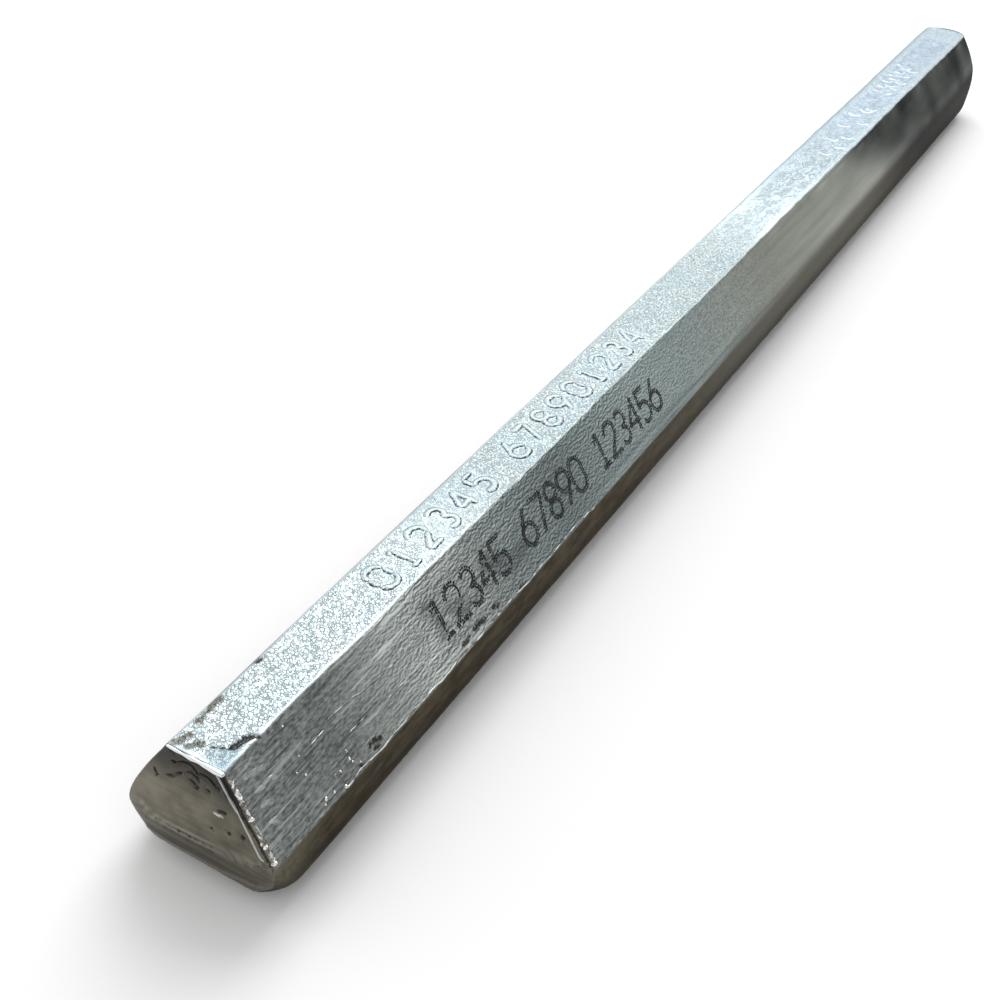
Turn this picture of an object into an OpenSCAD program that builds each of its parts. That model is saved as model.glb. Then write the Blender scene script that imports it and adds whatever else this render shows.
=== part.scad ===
// Cast solder bar, lying with its narrow moulded face up.
// Everything above the crease was shaped by the mould: two steep drafted sides, two nearly
// upright ends and a narrow flat top with a thin lip of flash at each end. Everything below the
// crease set in the open air: a flat face whose edges and corners the melt's surface tension
// rounded off. The top widens a little towards the far end, so the crease rises that way. The bar
// runs along X, and the origin is under the middle of its overall length.

/* [Moulded face] */
// Length of the narrow top face between the two end walls
top_length = 326.6; // [200:0.1:420]
// Width of the narrow top face at the near end
near_top_width = 7.8; // [6:0.1:12]
// Width of the narrow top face at the far end
far_top_width = 10.8; // [6:0.1:12]
// Height of the bar from the open-cast face to the top face
bar_height = 21.2; // [18:0.1:26]
// Draft of the two long sides, in degrees from upright
side_draft = 34; // [28:0.5:40]
// Draft of the two ends, in degrees from upright
end_draft = 5; // [4:0.1:8]
// Radius along the two long edges of the top face
top_edge_radius = 1.2; // [0.4:0.1:2]

/* [Open-cast face] */
// Widest part of the bar, at the crease and below
belly_width = 23.3; // [20:0.1:28]
// How far each end stands out beyond the end of the top face
belly_reach = 1.2; // [0.9:0.1:2]
// Radius of the rounded lower edge, seen in section
edge_radius = 4.4; // [3:0.1:6]
// Radius of the four corners, seen from above
corner_radius = 5.1; // [4:0.1:9]

/* [Lips of flash] */
// Thickness of the lips, level with the top face
lip_thickness = 0.8; // [0.5:0.1:2]
// How far the lip stands out at the near end
near_lip_reach = 0.7; // [0.3:0.1:4]
// How far the lip stands out at the far end
far_lip_reach = 5.5; // [0.3:0.1:8]
// Radius of the lips' corners, seen from above
lip_corner_radius = 2; // [0.5:0.1:2.5]
// How far the roots of the lips run back into the bar
lip_root = 4; // [3:0.5:8]

/* [Hidden] */
$fn = 64;

// The flat mould walls are drawn down past the open-cast face, and the belly cuts them off there
side_spread = bar_height * tan(side_draft);
end_spread = bar_height * tan(end_draft);
mould_length = top_length + 2 * end_spread;

// Half of the top's width at mid-length, and the angle that each long wall makes with the X axis
middle_half = (near_top_width + far_top_width) / 4;
taper = atan((far_top_width - near_top_width) / 2 / top_length);
mould_half = middle_half + side_spread;

// Width of flat that every rounding leaves beside it
least_flat = 0.1;

// Outline of the belly, and its lower edge, which the corners limit
belly_length = top_length + 2 * belly_reach;
belly_edge = min(edge_radius, corner_radius - least_flat);

// Ends of the whole bar before it is centred, and the shift that centres it
near_end = -max(belly_length / 2, top_length / 2 + near_lip_reach);
far_end = max(belly_length / 2, top_length / 2 + far_lip_reach);
centring = -(near_end + far_end) / 2;

// A symmetric trapezoid that stands on the X axis
module trapezoid(bottom, top, height) {
    polygon([[-bottom / 2, 0], [bottom / 2, 0], [top / 2, height], [-top / 2, height]]);
}

// Section of all that lies inside one long wall: the drafted wall on the right, with the top corner
// rounded by a circle that touches the top and the wall
module wall_section() {
    tangent = top_edge_radius * tan((90 - side_draft) / 2);
    flat_y = middle_half - tangent;
    slope_y = middle_half + tangent * sin(side_draft);
    slope_z = bar_height - tangent * cos(side_draft);
    union() {
        polygon([
            [-2 * mould_half, 0], [mould_half, 0], [slope_y, slope_z],
            [flat_y, bar_height], [-2 * mould_half, bar_height]
        ]);
        translate([flat_y, bar_height - top_edge_radius])
            circle(r = top_edge_radius);
    }
}

// A rectangle that stands on the X axis with its two lower corners rounded
module round_footed_section(width, height, radius) {
    union() {
        translate([-width / 2, radius])
            square([width, height - radius]);
        translate([-width / 2 + radius, 0])
            square([width - 2 * radius, height]);
        for (side = [-1, 1])
            translate([side * (width / 2 - radius), radius])
                circle(r = radius);
    }
}

// Section of one belly corner from its upright axis outwards
module belly_corner_section() {
    intersection() {
        round_footed_section(2 * corner_radius, bar_height, belly_edge);
        square([corner_radius, bar_height]);
    }
}

// All that lies inside one long wall of the mould, turned by the taper
module long_wall(side) {
    rotate([0, 0, side * taper])
        mirror([0, side < 0 ? 1 : 0, 0])
            rotate([90, 0, 90])
                linear_extrude(height = 2 * mould_length, center = true)
                    wall_section();
}

// The wedge between the two long mould walls
module long_walls() {
    intersection() {
        long_wall(-1);
        long_wall(1);
    }
}

// The prism between the two end walls of the mould
module end_walls() {
    rotate([90, 0, 0])
        linear_extrude(height = 4 * mould_half, center = true)
            trapezoid(mould_length, top_length, bar_height);
}

// The pillow that the melt's free surface forms: straight runs along X and along Y, and a
// turned corner between each two of them
module belly() {
    union() {
        rotate([90, 0, 90])
            linear_extrude(height = belly_length - 2 * corner_radius, center = true)
                round_footed_section(belly_width, bar_height, belly_edge);
        rotate([90, 0, 0])
            linear_extrude(height = belly_width - 2 * corner_radius, center = true)
                round_footed_section(belly_length, bar_height, belly_edge);
        for (end = [-1, 1], side = [-1, 1])
            translate([
                end * (belly_length / 2 - corner_radius),
                side * (belly_width / 2 - corner_radius),
                0
            ])
                rotate_extrude()
                    belly_corner_section();
    }
}

// A thin tongue of flash at one end: the top slice between the long walls carried on past the end
// wall, with its outer corners rounded
module lip(end, reach, face_width) {
    slice_width = face_width + 2 * lip_thickness * tan(side_draft) + 2 * reach * tan(abs(taper));
    root_x = top_length / 2 - lip_root;
    tip_x = top_length / 2 + reach;
    corner = min(lip_corner_radius, slice_width / 2 - least_flat);
    intersection() {
        long_walls();
        mirror([end < 0 ? 1 : 0, 0, 0])
            translate([0, 0, bar_height - lip_thickness])
                linear_extrude(height = lip_thickness)
                    union() {
                        translate([root_x, -slice_width / 2])
                            square([tip_x - corner - root_x, slice_width]);
                        translate([root_x, -slice_width / 2 + corner])
                            square([tip_x - root_x, slice_width - 2 * corner]);
                        for (side = [-1, 1])
                            translate([tip_x - corner, side * (slice_width / 2 - corner)])
                                circle(r = corner);
                    }
    }
}

module solder_bar() {
    color("silver")
        translate([centring, 0, 0])
            union() {
                intersection() {
                    long_walls();
                    end_walls();
                    belly();
                }
                lip(-1, near_lip_reach, near_top_width);
                lip(1, far_lip_reach, far_top_width);
            }
}

solder_bar();
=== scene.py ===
# %% [markdown]
# This lesson dresses one cast bar of solder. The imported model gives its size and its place, and
# all that is made here stays inside that box. A bar is a single casting, so it stays a single
# mesh: it is worked out ring by ring as arrays, roughened the way the mould and the air left it,
# and only then given its finish.

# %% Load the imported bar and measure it
from collections import namedtuple

import bpy
import numpy as np
from mathutils import Matrix, Vector


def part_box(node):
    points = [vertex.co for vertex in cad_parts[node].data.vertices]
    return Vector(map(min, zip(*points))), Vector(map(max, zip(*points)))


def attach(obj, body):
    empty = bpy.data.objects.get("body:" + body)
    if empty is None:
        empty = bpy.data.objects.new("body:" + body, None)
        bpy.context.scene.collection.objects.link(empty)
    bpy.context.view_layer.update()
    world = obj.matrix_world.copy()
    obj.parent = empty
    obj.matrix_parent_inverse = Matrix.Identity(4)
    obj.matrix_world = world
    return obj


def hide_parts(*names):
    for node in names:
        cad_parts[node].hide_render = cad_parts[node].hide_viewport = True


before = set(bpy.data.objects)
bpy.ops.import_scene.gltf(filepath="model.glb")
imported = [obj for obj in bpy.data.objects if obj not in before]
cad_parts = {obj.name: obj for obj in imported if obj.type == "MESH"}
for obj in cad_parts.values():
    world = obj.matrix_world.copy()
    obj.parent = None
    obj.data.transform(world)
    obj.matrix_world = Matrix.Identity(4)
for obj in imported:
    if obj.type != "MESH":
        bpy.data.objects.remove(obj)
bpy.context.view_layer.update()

MM = 0.001
low, high = (np.array(corner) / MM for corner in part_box("solder_bar"))
print("box of the bar in mm:", np.round(low, 2), np.round(high, 2))

# %% [markdown]
# The picture was taken close up, so the near end looks twice as large as the far one. A camera is
# a place, a direction and a lens. The direction could be aimed at an empty, but three angles say it
# exactly: where it looks on the compass, how far it dips, and how far the camera leans.

# %% Camera
CAMERA_PLACE = (-0.2428, -0.0748, 0.1394)
VIEW_AZIMUTH, VIEW_DIP, VIEW_LEAN = np.radians((26.77, 37.22, 4.97))
LENS_MM = 48.57


def camera_turn(azimuth, dip, lean):
    """Forward from azimuth and dip, level right and up beside it, both turned by the lean."""
    forward = Vector((np.cos(dip) * np.cos(azimuth), np.cos(dip) * np.sin(azimuth), -np.sin(dip)))
    level_right = forward.cross(Vector((0, 0, 1))).normalized()
    level_up = level_right.cross(forward)
    right = level_right * np.cos(lean) + level_up * np.sin(lean)
    return Matrix((right, right.cross(forward), -forward)).transposed()


camera = bpy.data.objects.new("camera", bpy.data.cameras.new("camera"))
camera.data.lens = LENS_MM
camera.matrix_world = Matrix.Translation(CAMERA_PLACE) @ camera_turn(
    VIEW_AZIMUTH, VIEW_DIP, VIEW_LEAN).to_4x4()
camera.data.clip_start = 0.01
bpy.context.scene.collection.objects.link(camera)
bpy.context.scene.camera = camera
print("camera at", CAMERA_PLACE, "lens", LENS_MM, "mm")

# %% [markdown]
# Shader graphs are easier to read when each node is one line. This helper makes a node, sets its
# options, and either links or fills each input by name or number.

# %% A helper for shader nodes
MIX_SOCKETS = {"RGBA": (6, 7, 2), "FLOAT": (2, 3, 0)}


def node(tree, kind, inputs=None, **options):
    """One node of a tree: options are its settings, and an input is a value or another's output."""
    made = tree.nodes.new("ShaderNode" + kind)
    for name, value in options.items():
        setattr(made, name, value)
    for name, value in (inputs or {}).items():
        if isinstance(value, bpy.types.NodeSocket):
            tree.links.new(value, made.inputs[name])
        else:
            made.inputs[name].default_value = value
    return made


def mix(tree, share, first, second, kind="RGBA"):
    """The first value or colour where share is 0, and the second where it is 1."""
    a, b, out = MIX_SOCKETS[kind]
    return node(tree, "Mix", {0: share, a: first, b: second}, data_type=kind).outputs[out]


def sums(tree, operation, first, second):
    """One sum on two numbers, such as ADD or MULTIPLY."""
    return node(tree, "Math", {0: first, 1: second}, operation=operation).outputs[0]


def spread(tree, value, start, end, low_value=0.0, high_value=1.0):
    """The value's range from start to end, stretched smoothly over low_value to high_value."""
    return node(tree, "MapRange", {
        "Value": value, "From Min": start, "From Max": end, "To Min": low_value, "To Max": high_value,
    }, interpolation_type="SMOOTHSTEP").outputs["Result"]


def new_material(name):
    """An empty node material with a metal-ready shader: its tree and that shader."""
    material = bpy.data.materials.new(name)
    material.use_nodes = True
    return material, material.node_tree, material.node_tree.nodes["Principled BSDF"]


print("node helpers ready")

# %% [markdown]
# The bar lies on a pale, dull ground without an edge in sight. One large square is enough for that,
# because nothing of the floor shows but its colour and the shadow on it.

# %% Floor
FLOOR_HALF = 12.0
FLOOR_COLOUR = (0.96, 0.96, 0.96, 1)

floor_mesh = bpy.data.meshes.new("floor")
floor_mesh.from_pydata(
    [(x * FLOOR_HALF, y * FLOOR_HALF, 0) for x, y in ((-1, -1), (1, -1), (1, 1), (-1, 1))],
    [], [(0, 1, 2, 3)])
floor = bpy.data.objects.new("floor", floor_mesh)
bpy.context.scene.collection.objects.link(floor)
floor_finish, _, floor_shader = new_material("pale_floor")
floor_shader.inputs["Base Color"].default_value = FLOOR_COLOUR
floor_shader.inputs["Roughness"].default_value = 0.9
floor_shader.inputs["Specular IOR Level"].default_value = 0.1
floor_mesh.materials.append(floor_finish)
print("floor is", 2 * FLOOR_HALF, "m wide")

# %% [markdown]
# Metal shows what surrounds it, so a soft dome of light matters as much as the lamp. The dome is dim
# at the horizon, which the steep sides mirror, brightest halfway up on the left, which the narrow
# face mirrors, and dimmer overhead and on the right. A photograph of a studio could do this, but a
# few sums on the direction are easier to adjust. One broad lamp behind the bar throws the soft
# shadow forward and to the right.

# %% Dome and lamp
HORIZON_LIGHT, BAND_LIGHT, OVERHEAD_SHARE = 0.34, 1.06, 0.66
DARK_SIDE_SHARE, BRIGHT_SIDE_SHARE = 0.55, 1.0
BAND_START, OVERHEAD_START, SIDE_RANGE = 0.4, 0.65, (-0.9, 0.5)
BRIGHT_AZIMUTH = np.radians(100)
LAMP_AZIMUTH, LAMP_HEIGHT, LAMP_DISTANCE = np.radians(20), np.radians(54), 1.2
LAMP_SIZE, LAMP_POWER = 0.9, 8.6

dome = bpy.data.worlds.new("dome")
dome.use_nodes = True
sky = dome.node_tree
direction = node(sky, "TexCoord").outputs["Generated"]
height = node(sky, "SeparateXYZ", {0: direction}).outputs["Z"]
bright_way = (np.cos(BRIGHT_AZIMUTH), np.sin(BRIGHT_AZIMUTH), 0)
facing = node(sky, "VectorMath", {0: direction, 1: bright_way}, operation="DOT_PRODUCT")
leftness = facing.outputs["Value"]
band = spread(sky, height, 0.0, BAND_START, HORIZON_LIGHT, BAND_LIGHT)
overhead = spread(sky, height, OVERHEAD_START, 1.0, 1.0, OVERHEAD_SHARE)
sideways = spread(sky, leftness, *SIDE_RANGE, DARK_SIDE_SHARE, BRIGHT_SIDE_SHARE)
glow = sums(sky, "MULTIPLY", sums(sky, "MULTIPLY", band, overhead), sideways)
sky.links.new(glow, sky.nodes["Background"].inputs["Strength"])
sky.nodes["Background"].inputs["Color"].default_value = (1, 1, 1, 1)
bpy.context.scene.world = dome

lamp = bpy.data.objects.new("lamp", bpy.data.lights.new("lamp", "AREA"))
lamp.data.size = LAMP_SIZE
lamp.data.energy = LAMP_POWER
to_lamp = Vector((np.cos(LAMP_HEIGHT) * np.cos(LAMP_AZIMUTH),
                  np.cos(LAMP_HEIGHT) * np.sin(LAMP_AZIMUTH), np.sin(LAMP_HEIGHT)))
lamp.location = to_lamp * LAMP_DISTANCE
lamp.rotation_euler = to_lamp.to_track_quat("Z", "Y").to_euler()
bpy.context.scene.collection.objects.link(lamp)
bpy.context.scene.view_settings.view_transform = "Standard"
print("lamp stands at", [round(c, 2) for c in lamp.location])

# %% [markdown]
# Cast metal is never quite regular. Three small tools make its irregularity from arrays: a smooth
# step, a soft noise of a chosen grain, and the pebble pattern that freezing metal leaves against a
# cold mould. All of them come from fixed numbers, so the bar is the same on every run.

# %% Tools for irregular surfaces
HASH_PRIMES = np.array([73856093, 19349663, 83492791])
HASH_MIX, HASH_SEED, HASH_MASK = 1103515245, 2654435761, 0xFFFFFFFF


def ramp(value, start, end):
    """0 up to start and 1 from end on, with a smooth S between: 3t^2 - 2t^3 of the share t."""
    share = np.clip((value - start) / (end - start), 0, 1)
    return share * share * (3 - 2 * share)


def lattice_random(cells, seed):
    """A fixed number from 0 to 1 for each whole-numbered cell, its coordinates times primes, mixed."""
    mixed = (cells.astype(np.int64) * HASH_PRIMES[: cells.shape[-1]]).sum(-1)
    mixed = (mixed + seed * HASH_SEED) & HASH_MASK
    for shift in (13, 15):
        mixed = ((mixed ^ (mixed >> shift)) * HASH_MIX) & HASH_MASK
    return (mixed ^ (mixed >> 16)) / HASH_MASK


def soft_noise(points, grain, seed):
    """Noise from -1 to 1: random numbers on cells of size grain, blended by an S along each axis."""
    scaled = points / grain
    cell = np.floor(scaled)
    blend = ramp(scaled - cell, 0, 1)
    total = np.zeros(points.shape[:-1])
    for corner in np.ndindex(*(2,) * points.shape[-1]):
        weight = np.where(corner, blend, 1 - blend).prod(-1)
        total += weight * lattice_random(cell + corner, seed)
    return 2 * total - 1


def pebble_distances(points, grain, seed):
    """Distance from each point to the nearest and the next pebble centre, one centre in each cell."""
    scaled = points / grain
    cell = np.floor(scaled)
    nearest = np.full(points.shape[:-1], 9.0)
    second = nearest.copy()
    for step in np.ndindex(3, 3):
        other = cell + np.array(step) - 1
        centre = other + np.stack([lattice_random(other, seed), lattice_random(other, seed + 1)], -1)
        distance = np.linalg.norm(centre - scaled, axis=-1)
        second = np.minimum(second, np.maximum(nearest, distance))
        nearest = np.minimum(nearest, distance)
    return nearest, second


print("noise sample:", np.round(soft_noise(np.array([[0.2, 0.5], [3.1, 1.7]]), 1.0, 1), 3))

# %% [markdown]
# Cut across, the bar is a mould on top and a drop of melt below. The mould gave the narrow face
# with its rounded edges and the two sloping sides. Below the crease nothing held the melt, so it
# bulged out and rounded off. The outline could be drawn as a curve, but written as arcs and lines
# it keeps its true radii and puts more points where more will happen: on the narrow face and on
# the side that carries print. This is the outline halfway along; the face widens towards the far
# end, which comes later.

# %% Outline across the bar
FIGURE_ROOM = 0.2
SIDE_DRAFT = np.radians(34)
NEAR_TOP_WIDTH, FAR_TOP_WIDTH = 7.8, 10.8
EDGE_RADIUS = 0.8
CREASE_RADIUS = 0.8
FOOT_RADIUS = 4.4
SECTION_POINTS = dict(face=17, edge=4, crease=4, wall=6, foot=9, base=2)
PRINTED_SIDE_POINTS, PLAIN_SIDE_POINTS = 18, 9

face_z = high[2] - FIGURE_ROOM
belly_half = high[1]
face_half = (NEAR_TOP_WIDTH + FAR_TOP_WIDTH) / 4 + FIGURE_ROOM * np.tan(SIDE_DRAFT)
crease_z = face_z - (belly_half - face_half) / np.tan(SIDE_DRAFT)


def line_points(start, end, count):
    """Evenly spaced points from start towards end, without the end itself."""
    share = np.arange(count)[:, None] / count
    return np.array(start) * (1 - share) + np.array(end) * share


def arc_points(centre, radius, start, end, count):
    """Points on a circle from one angle towards another, without the last."""
    angle = start + (end - start) * np.arange(count) / count
    return np.array(centre) + radius * np.stack([np.cos(angle), np.sin(angle)], -1)


def half_section(side_points):
    """Half of the outline as (y, z), from the middle of the face down to the middle of the base."""
    n = SECTION_POINTS
    slope = np.array([np.sin(SIDE_DRAFT), -np.cos(SIDE_DRAFT)])
    edge_run = EDGE_RADIUS * np.tan((np.pi / 2 - SIDE_DRAFT) / 2)
    crease_run = CREASE_RADIUS * np.tan(SIDE_DRAFT / 2)
    flat_end = np.array([face_half - edge_run, face_z])
    side_start = np.array([face_half, face_z]) + slope * edge_run
    side_end = np.array([belly_half, crease_z]) - slope * crease_run
    wall_top = np.array([belly_half, crease_z - crease_run])
    wall_foot = np.array([belly_half, FOOT_RADIUS])
    base_start = np.array([belly_half - FOOT_RADIUS, 0.0])
    return np.concatenate([
        line_points((0, face_z), flat_end, n["face"]),
        arc_points(flat_end - (0, EDGE_RADIUS), EDGE_RADIUS, np.pi / 2, SIDE_DRAFT, n["edge"]),
        line_points(side_start, side_end, side_points),
        arc_points(wall_top - (CREASE_RADIUS, 0), CREASE_RADIUS, SIDE_DRAFT, 0, n["crease"]),
        line_points(wall_top, wall_foot, n["wall"]),
        arc_points(wall_foot - (FOOT_RADIUS, 0), FOOT_RADIUS, 0, -np.pi / 2, n["foot"]),
        line_points(base_start, (0, 0), n["base"]),
        [(0, 0)],
    ])


outline = np.concatenate([half_section(PRINTED_SIDE_POINTS) * (-1, 1),
                          half_section(PLAIN_SIDE_POINTS)[-2:0:-1]])
print("outline has", len(outline), "points, crease at", round(crease_z, 2), "mm")

# %% [markdown]
# Each end is a height map looked at along the bar: for a place (y, z) on the end it says how far
# out the metal reaches. The mould's end wall leans a little, the melt rounded the foot and the two
# lower corners, and a thin lip of flash stands out level with the narrow face.

# %% Shape of the two ends
END_DRAFT = np.radians(5)
BELLY_REACH, LEAST_CORNER = 1.2, 0.05
LIP_UNEVENNESS, LIP_GRAIN, BEVEL_DEPTH, UNDERCUT = 0.3, 1.9, 0.6, 0.25
SPLIT = np.sqrt(0.5)
End = namedtuple("End", "sign wall lip lip_thickness lip_corner corner corner_top foot seed")
NEAR_LIP, FAR_LIP = 0.2, 5.5
near_end = End(-1, -low[0] - BELLY_REACH, NEAR_LIP, 0.7, 1.6, 11.0, 12.0, 5.0, 11)
far_end = End(1, high[0] - FAR_LIP, FAR_LIP, 0.9, 4.6, 15.0, 17.0, 6.0, 12)


def soft_min(*values):
    """The smallest of several arrays, with their meeting rounded over about a tenth of a millimetre."""
    softness = 0.1
    return values[0] - softness * np.log(sum(np.exp((values[0] - value) / softness) for value in values))


def corner_radius(z, end):
    """Radius of the corner seen from above: sharp high up, growing with the square of the depth."""
    return LEAST_CORNER + end.corner * np.clip(1 - z / end.corner_top, 0, 1) ** 2


def lip_reach(y, z, end):
    """How far the lip stands out: a tongue that ends in a quarter of an ellipse at each corner,
    bevelled above and undercut below."""
    depth = face_z - z
    over = np.clip(np.abs(y) - (face_half - end.lip_corner), 0, end.lip_corner)
    tongue = end.lip * np.sqrt(1 - (over / end.lip_corner) ** 2)
    across = np.stack([y, 0 * y], -1)
    thickness = end.lip_thickness * (1 + LIP_UNEVENNESS * soft_noise(across, LIP_GRAIN, end.seed))
    bevel = 0.5 + 0.5 * ramp(depth, 0, BEVEL_DEPTH)
    return tongue * bevel * (1 - ramp(depth, thickness, thickness + UNDERCUT))


def end_reach(y, z, end):
    """Distance of the end surface from the middle: the least of leaning wall, round foot and round
    corner, plus the lip."""
    wall = end.wall + (high[2] - z) * np.tan(END_DRAFT)
    belly = end.wall + BELLY_REACH
    below = np.clip(end.foot - z, 0, end.foot)
    foot = belly - end.foot + np.sqrt(end.foot ** 2 - below ** 2)
    radius = corner_radius(z, end)
    over = np.clip(np.abs(y) - (belly_half - radius), 0, radius)
    corner = belly - radius + np.sqrt(radius ** 2 - over ** 2)
    return soft_min(wall, foot, corner) + lip_reach(y, z, end)


print("end walls at", round(-near_end.wall, 2), "and", round(far_end.wall, 2), "mm")

# %% [markdown]
# Now the outline is carried along the bar. Near an end the belly draws in and the base lifts, by
# half of each quarter-round; the end's own height map carries on from there. Rings stand closer
# where the surface is busy: at the near end, under the raised figures and under the far scales.

# %% Rings from end to end
RING_ZONES = ((-165.8, -130.0, 0.2), (-130.0, -42.0, 0.45), (-42.0, 50.0, 0.9), (50.0, 130.0, 0.4),
              (130.0, 164.0, 0.5))
CAP_MIDDLE = (0.0, 9.0)
FIRST_SHARE, BUSY_SHARE = 0.004, 0.78


def quarter_round(distance, radius):
    """How far a quarter-round of this radius has drawn in, at a distance before its 45 degree point."""
    run = np.clip(SPLIT * radius - distance, 0, None)
    return radius - np.sqrt(radius ** 2 - run ** 2)


def end_rim(end):
    """Where the outline meets one end: its points drawn in by half of each quarter-round."""
    y, z = outline.T
    y = y - np.sign(y) * quarter_round(0, corner_radius(z, end))
    z = z + quarter_round(0, end.foot) * np.clip(1 - z / end.foot, 0, 1)
    return y, z


def along_rings():
    """The long part: x runs between the two rims, and y and z draw in as each end comes near."""
    stations = np.concatenate([np.linspace(start, end, round((end - start) / step), endpoint=False)
                               for start, end, step in RING_ZONES])
    share = ((stations - stations[0]) / (stations[-1] - stations[0]))[:, None]
    rims = [end.sign * end_reach(*end_rim(end), end) for end in (near_end, far_end)]
    x = rims[0] * (1 - share) + rims[1] * share
    y, z = (np.repeat(part[None], len(stations), 0) for part in outline.T)
    for end, rim in zip((near_end, far_end), rims):
        distance = np.abs(x - rim)
        y = y - np.sign(y) * quarter_round(distance, corner_radius(outline[:, 1], end))
        z = z + quarter_round(distance, end.foot) * np.clip(1 - outline[:, 1] / end.foot, 0, 1)
    return np.stack([x, y, z], -1)


def cap_rings(end, shares):
    """The rim drawn towards the middle of the end by each share, with x from the end's height map."""
    rim = np.stack(end_rim(end), -1)
    y, z = np.moveaxis(CAP_MIDDLE + shares[:, None, None] * (rim - CAP_MIDDLE), -1, 0)
    return np.stack([end.sign * end_reach(y, z, end), y, z], -1)


def cap_shares(inner, outer):
    """Shares from the middle to the rim: inner rings up to the busy share, then closer ones."""
    calm = np.linspace(FIRST_SHARE, BUSY_SHARE, inner, endpoint=False)
    return np.append(calm, np.linspace(BUSY_SHARE, 1, outer)[:-1])


near_shares, far_shares = cap_shares(30, 18), cap_shares(12, 12)
straight_body = np.concatenate(
    [cap_rings(near_end, near_shares), along_rings(), cap_rings(far_end, far_shares)[::-1]])
first_ring, last_ring = len(near_shares), len(straight_body) - len(far_shares)
print("grid of", straight_body.shape[0], "rings by", straight_body.shape[1], "points")

# %% [markdown]
# The mould is a little wider at the far end. The sides keep their slope, so where the face widens
# the crease climbs. Every point is moved by its share: the face's edge sideways, the crease
# upwards, and what lies between by a mixture. The base stays where it is.

# %% Widening towards the far end
wall_middle = (far_end.wall - near_end.wall) / 2
WIDENING = (FAR_TOP_WIDTH - NEAR_TOP_WIDTH) / 2 / (far_end.wall + near_end.wall)


def extra_half(x):
    """How much wider half of the face is at x than halfway along."""
    return WIDENING * (x - wall_middle)


def half_at(x):
    """Half of the face's width at x."""
    return face_half + extra_half(x)


def crease_at(x):
    """Height of the crease at x: a wider face lifts it by the width over the tangent of the draft."""
    return crease_z + extra_half(x) / np.tan(SIDE_DRAFT)


def widened(points):
    """Points moved by the extra width: sideways in full at the face's edge and not at the crease,
    upwards the other way round, and less and less from the crease down to the foot."""
    x, y, z = np.moveaxis(points, -1, 0)
    level = np.clip((z - FOOT_RADIUS) / (crease_z - FOOT_RADIUS), 0, 1)
    down = np.clip((np.abs(y) - face_half) / (belly_half - face_half), 0, 1)
    sideways = extra_half(x) * level * (1 - down) * np.clip(y / face_half, -1, 1)
    upwards = extra_half(x) / np.tan(SIDE_DRAFT) * level * down
    return np.stack([x, y + sideways, z + upwards], -1)


body = widened(straight_body)
print("half of the face is", round(half_at(-near_end.wall), 2), "to", round(half_at(far_end.wall), 2), "mm")

# %% [markdown]
# Relief is added along the surface's own direction, so that direction comes first: the cross
# product of the steps along and across the grid. From it follow soft masks that tell the face, the
# sides, the ends and the open-cast belly apart, which the finish will use as well. The printed edge
# of the face is a little ragged, and towards the far end the belly's skin creeps over the crease.

# %% Directions and masks
PLAIN_LEAST_UP, PRINTED_LEAST_UP, FULLY_UP = 0.55, 0.75, 0.97
RAGGED_FROM, RAGGED_TO = (-130, -90), (100, 40)
CREEP_HEIGHT, CREEP_BLUR, CREEP_ZONE = 0.8, 1.6, (-60, 30)


def grid_normals(points):
    """Unit normals of a closed grid: the step round the outline crossed with the step along the bar."""
    along = np.gradient(points, axis=0)
    across = np.roll(points, -1, axis=1) - np.roll(points, 1, axis=1)
    normal = np.cross(across, along)
    return normal / np.maximum(np.linalg.norm(normal, axis=-1, keepdims=True), 1e-9)


normals = grid_normals(body)
x, y, z = np.moveaxis(body, -1, 0)
along_only = body * (1, 0, 0)
near_half = x < 0
ring_number = np.arange(len(body))[:, None]
on_end = ((ring_number < first_ring) | (ring_number >= last_ring)) * np.ones_like(x)
ragged_edge = 0.06 + 0.1 * soft_noise(along_only, 1.5, 26)
ragged_edge = ragged_edge * ramp(x, *RAGGED_FROM) * ramp(x, *RAGGED_TO)
least_up = np.where(y > 0, PLAIN_LEAST_UP, PRINTED_LEAST_UP + ragged_edge)
on_face = ramp(normals[..., 2], least_up, np.minimum(least_up + 0.22, FULLY_UP)) * (1 - on_end)
creep = ramp(x, *CREEP_ZONE)
skin_start, skin_blur = crease_at(x) + CREEP_HEIGHT * creep, 0.2 + CREEP_BLUR * creep
on_belly = ramp(z - skin_start, skin_blur, -skin_blur) * (1 - on_end)
on_side = (1 - on_end) * (1 - on_face) * (1 - on_belly)
on_printed = on_side * (y < 0)
side_run = (face_z - z) / np.cos(SIDE_DRAFT)
print("share of points on the face:", round(float(on_face.mean()), 2))

# %% [markdown]
# Marks on the bar, from cast figures to chips, are strokes: a pen line on the surface, given by a
# few places in millimetres. The height or the stain then falls off with the distance from the
# line, which gives the soft shoulders of cast metal. Straight and round strokes are enough.

# %% Strokes
STROKE_STEP, PLACE_STEP = 0.02, 0.1


def run_along(places):
    """How far along a line each of its places lies: the running sum of the steps between them."""
    return np.append(0, np.linalg.norm(np.diff(places, axis=0), axis=1).cumsum())


def respaced(places, count):
    """So many evenly spaced points along a line."""
    run = run_along(places)
    at = np.linspace(0, run[-1], count)
    return np.stack([np.interp(at, run, places[:, axis]) for axis in (0, 1)], -1)


def straight(x0, y0, x1, y1):
    """Points along a straight stroke, a fixed step apart."""
    count = int(np.hypot(x1 - x0, y1 - y0) / STROKE_STEP) + 2
    return np.linspace((x0, y0), (x1, y1), count)


def bow(cx, cy, radius, start, end):
    """Points along a round stroke from one angle to another, in degrees, a fixed step apart."""
    count = int(abs(np.radians(end - start)) * radius / STROKE_STEP) + 2
    angle = np.radians(np.linspace(start, end, count))
    return np.stack([cx + radius * np.cos(angle), cy + radius * np.sin(angle)], -1)


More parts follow.
